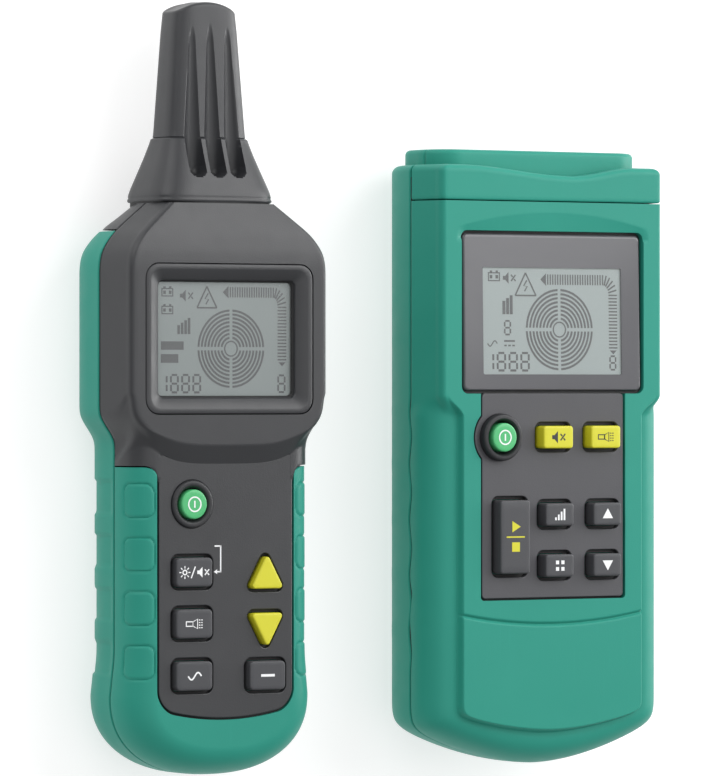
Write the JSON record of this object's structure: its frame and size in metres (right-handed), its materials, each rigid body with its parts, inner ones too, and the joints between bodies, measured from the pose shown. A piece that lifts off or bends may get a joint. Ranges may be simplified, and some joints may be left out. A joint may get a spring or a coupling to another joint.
{
  "type": "cable locator",
  "caption": "Hand-held cable locator set: a receiver with a grooved sensing nose, display and keypad, and a matching transmitter with display, keypad and lead sockets.",
  "frame": {"origin": "on the table under the middle of the set", "axes": "+X across both units, receiver left and transmitter right, +Y towards the sensing nose, +Z out of the front faces"},
  "size_m": [0.205, 0.2416, 0.045],
  "materials": {
    "green_plastic": "moulded satin",
    "charcoal_plastic": "fine moulded grain",
    "dark_plastic": "satin",
    "black_plastic": "satin",
    "dark_rubber": "matt",
    "yellow_rubber": "matt",
    "power_rubber": "satin",
    "mat_rubber": "matt",
    "clear_lens": "polished",
    "clear_window": "polished",
    "dark_window": "polished",
    "display": "satin",
    "board": "lacquered",
    "ferrite": "ground",
    "copper_wire": "enamelled",
    "cell_can": "printed sleeve",
    "steel": "plated",
    "socket_brass": "plated"
  },
  "bodies": {
    "receiver": {"rx_back_shell": "green_plastic", "rx_front_shell": "charcoal_plastic", "rx_grip_surround": "green_plastic", "rx_sensor_nose": "charcoal_plastic", "rx_antenna_core": "ferrite", "rx_antenna_winding": "copper_wire", "rx_torch_lens": "clear_lens", "rx_display_bezel": "dark_plastic", "rx_display_window": "clear_window", "rx_lcd_panel": "display", "rx_power_ring": "dark_plastic", "rx_keypad_mat": "mat_rubber", "rx_circuit_board": "board", "rx_buzzer": "black_plastic", "rx_batteries": "cell_can", "rx_battery_contacts": "steel", "rx_case_screws": "steel"},
    "transmitter": {"tx_back_shell": "green_plastic", "tx_front_shell": "green_plastic", "tx_top_cap": "green_plastic", "tx_terminal_block": "green_plastic", "tx_socket_line": "socket_brass", "tx_socket_earth": "socket_brass", "tx_torch_lens": "clear_lens", "tx_display_window": "dark_window", "tx_lcd_panel": "display", "tx_keypad_panel": "charcoal_plastic", "tx_power_ring": "dark_plastic", "tx_keypad_mat": "mat_rubber", "tx_circuit_board": "board", "tx_buzzer": "black_plastic", "tx_battery": "cell_can", "tx_battery_snap": "black_plastic", "tx_case_screws": "steel"},
    "rx_battery_door": {"rx_battery_door": "green_plastic", "rx_door_screw": "steel"},
    "tx_battery_door": {"tx_battery_door": "green_plastic", "tx_door_screw": "steel"},
    "rx_power_button": {"rx_power_button": "power_rubber"},
    "rx_light_mute_button": {"rx_light_mute_button": "dark_rubber"},
    "rx_torch_button": {"rx_torch_button": "dark_rubber"},
    "rx_voltage_button": {"rx_voltage_button": "dark_rubber"},
    "rx_manual_button": {"rx_manual_button": "dark_rubber"},
    "rx_level_up_button": {"rx_level_up_button": "yellow_rubber"},
    "rx_level_down_button": {"rx_level_down_button": "yellow_rubber"},
    "tx_power_button": {"tx_power_button": "power_rubber"},
    "tx_mute_button": {"tx_mute_button": "yellow_rubber"},
    "tx_torch_button": {"tx_torch_button": "yellow_rubber"},
    "tx_start_stop_button": {"tx_start_stop_button": "dark_rubber"},
    "tx_level_button": {"tx_level_button": "dark_rubber"},
    "tx_code_button": {"tx_code_button": "dark_rubber"},
    "tx_up_button": {"tx_up_button": "dark_rubber"},
    "tx_down_button": {"tx_down_button": "dark_rubber"}
  },
  "joints": [
    {"name": "transmitter_lift", "type": "slide", "parent": "receiver", "child": "transmitter", "axis": [0, 0, 1], "range_m": [0, 0.1]},
    {"name": "rx_door_lift", "type": "slide", "parent": "receiver", "child": "rx_battery_door", "axis": [0, 0, -1], "range_m": [0, 0.025]},
    {"name": "tx_door_lift", "type": "slide", "parent": "transmitter", "child": "tx_battery_door", "axis": [0, 0, -1], "range_m": [0, 0.025]},
    {"name": "rx_power_press", "type": "slide", "parent": "receiver", "child": "rx_power_button", "axis": [0, 0, -1], "range_m": [0, 0.001], "stiffness_N_per_m": 800, "springref_m": -0.0005},
    {"name": "rx_light_mute_press", "type": "slide", "parent": "receiver", "child": "rx_light_mute_button", "axis": [0, 0, -1], "range_m": [0, 0.001], "stiffness_N_per_m": 800, "springref_m": -0.0005},
    {"name": "rx_torch_press", "type": "slide", "parent": "receiver", "child": "rx_torch_button", "axis": [0, 0, -1], "range_m": [0, 0.001], "stiffness_N_per_m": 800, "springref_m": -0.0005},
    {"name": "rx_voltage_press", "type": "slide", "parent": "receiver", "child": "rx_voltage_button", "axis": [0, 0, -1], "range_m": [0, 0.001], "stiffness_N_per_m": 800, "springref_m": -0.0005},
    {"name": "rx_manual_press", "type": "slide", "parent": "receiver", "child": "rx_manual_button", "axis": [0, 0, -1], "range_m": [0, 0.001], "stiffness_N_per_m": 800, "springref_m": -0.0005},
    {"name": "rx_level_up_press", "type": "slide", "parent": "receiver", "child": "rx_level_up_button", "axis": [0, 0, -1], "range_m": [0, 0.001], "stiffness_N_per_m": 800, "springref_m": -0.0005},
    {"name": "rx_level_down_press", "type": "slide", "parent": "receiver", "child": "rx_level_down_button", "axis": [0, 0, -1], "range_m": [0, 0.001], "stiffness_N_per_m": 800, "springref_m": -0.0005},
    {"name": "tx_power_press", "type": "slide", "parent": "transmitter", "child": "tx_power_button", "axis": [0, 0, -1], "range_m": [0, 0.001], "stiffness_N_per_m": 800, "springref_m": -0.0005},
    {"name": "tx_mute_press", "type": "slide", "parent": "transmitter", "child": "tx_mute_button", "axis": [0, 0, -1], "range_m": [0, 0.001], "stiffness_N_per_m": 800, "springref_m": -0.0005},
    {"name": "tx_torch_press", "type": "slide", "parent": "transmitter", "child": "tx_torch_button", "axis": [0, 0, -1], "range_m": [0, 0.001], "stiffness_N_per_m": 800, "springref_m": -0.0005},
    {"name": "tx_start_stop_press", "type": "slide", "parent": "transmitter", "child": "tx_start_stop_button", "axis": [0, 0, -1], "range_m": [0, 0.001], "stiffness_N_per_m": 800, "springref_m": -0.0005},
    {"name": "tx_level_press", "type": "slide", "parent": "transmitter", "child": "tx_level_button", "axis": [0, 0, -1], "range_m": [0, 0.001], "stiffness_N_per_m": 800, "springref_m": -0.0005},
    {"name": "tx_code_press", "type": "slide", "parent": "transmitter", "child": "tx_code_button", "axis": [0, 0, -1], "range_m": [0, 0.001], "stiffness_N_per_m": 800, "springref_m": -0.0005},
    {"name": "tx_up_press", "type": "slide", "parent": "transmitter", "child": "tx_up_button", "axis": [0, 0, -1], "range_m": [0, 0.001], "stiffness_N_per_m": 800, "springref_m": -0.0005},
    {"name": "tx_down_press", "type": "slide", "parent": "transmitter", "child": "tx_down_button", "axis": [0, 0, -1], "range_m": [0, 0.001], "stiffness_N_per_m": 800, "springref_m": -0.0005}
  ]
}
